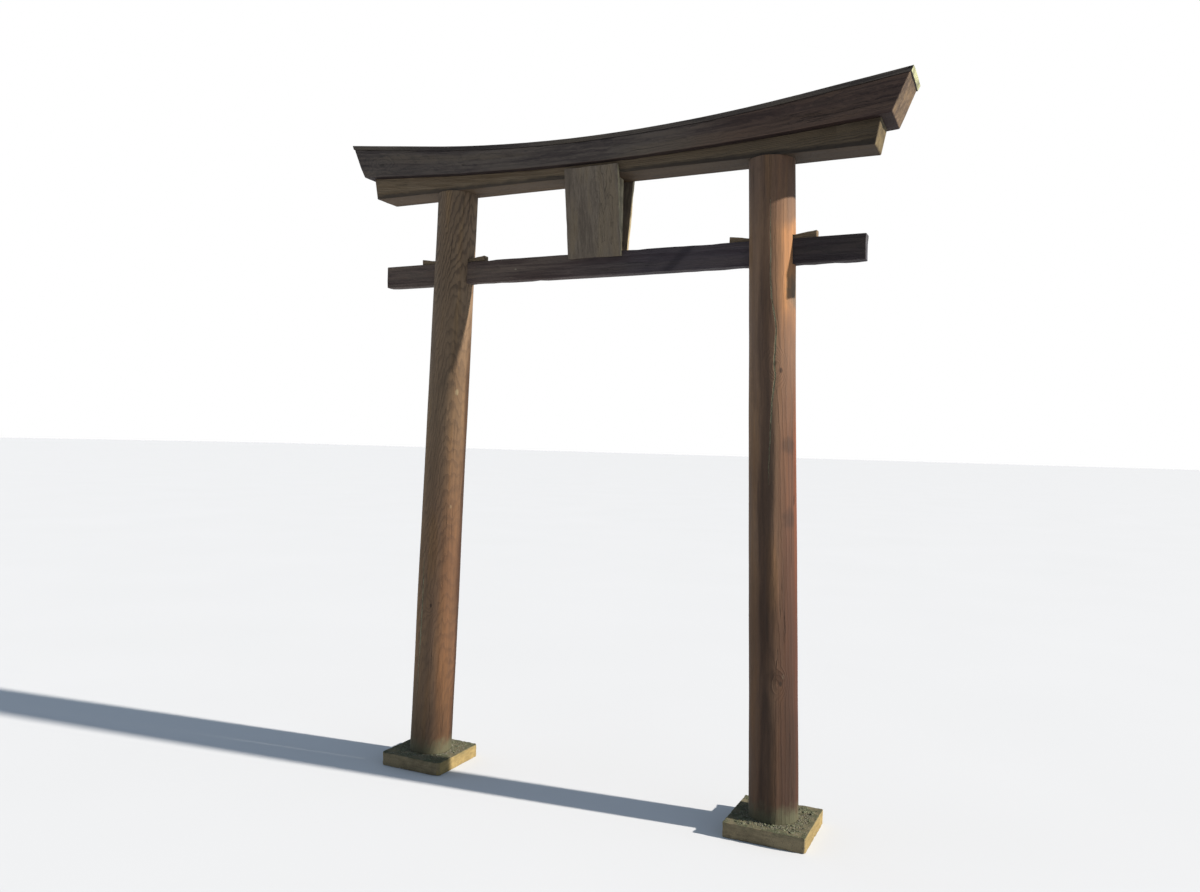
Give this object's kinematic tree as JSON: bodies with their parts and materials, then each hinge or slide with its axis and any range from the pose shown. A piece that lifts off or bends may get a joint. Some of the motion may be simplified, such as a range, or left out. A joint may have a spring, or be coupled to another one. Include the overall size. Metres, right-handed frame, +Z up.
{
  "type": "shrine gate",
  "caption": "Timber shrine gate: two leaning round posts on square pads, a wedged straight tie beam, a pair of lintels whose top curves up at both ends, and leaning centre tablets.",
  "frame": {"origin": "at ground level, midway between the two posts", "axes": "+X along the beams, to the right when facing the front; +Y through the gate, away from the front; +Z up"},
  "size_m": [2.838, 0.356, 3.202],
  "materials": {
    "pad_stone": "weathered, mossy on top",
    "log_wood": "bare weathered timber",
    "dark_wood": "dark weathered timber",
    "wedge_wood": "bare weathered timber",
    "lintel_wood": "bare weathered timber",
    "lintel_dark_wood": "dark weathered timber",
    "cap_wood": "weathered board with lichen",
    "board_wood": "grey weathered board"
  },
  "bodies": {
    "root": {"pad_left": "pad_stone", "pad_right": "pad_stone", "post_left": "log_wood", "post_right": "log_wood", "tie_beam": "dark_wood", "wedge_left_outer": "wedge_wood", "wedge_left_inner": "wedge_wood", "wedge_right_inner": "wedge_wood", "wedge_right_outer": "wedge_wood", "lower_lintel": "lintel_wood", "upper_lintel": "lintel_dark_wood", "cap_board": "cap_wood", "tablet_strut": "board_wood", "tablet_front": "board_wood", "tablet_back": "board_wood"}
  },
  "joints": []
}
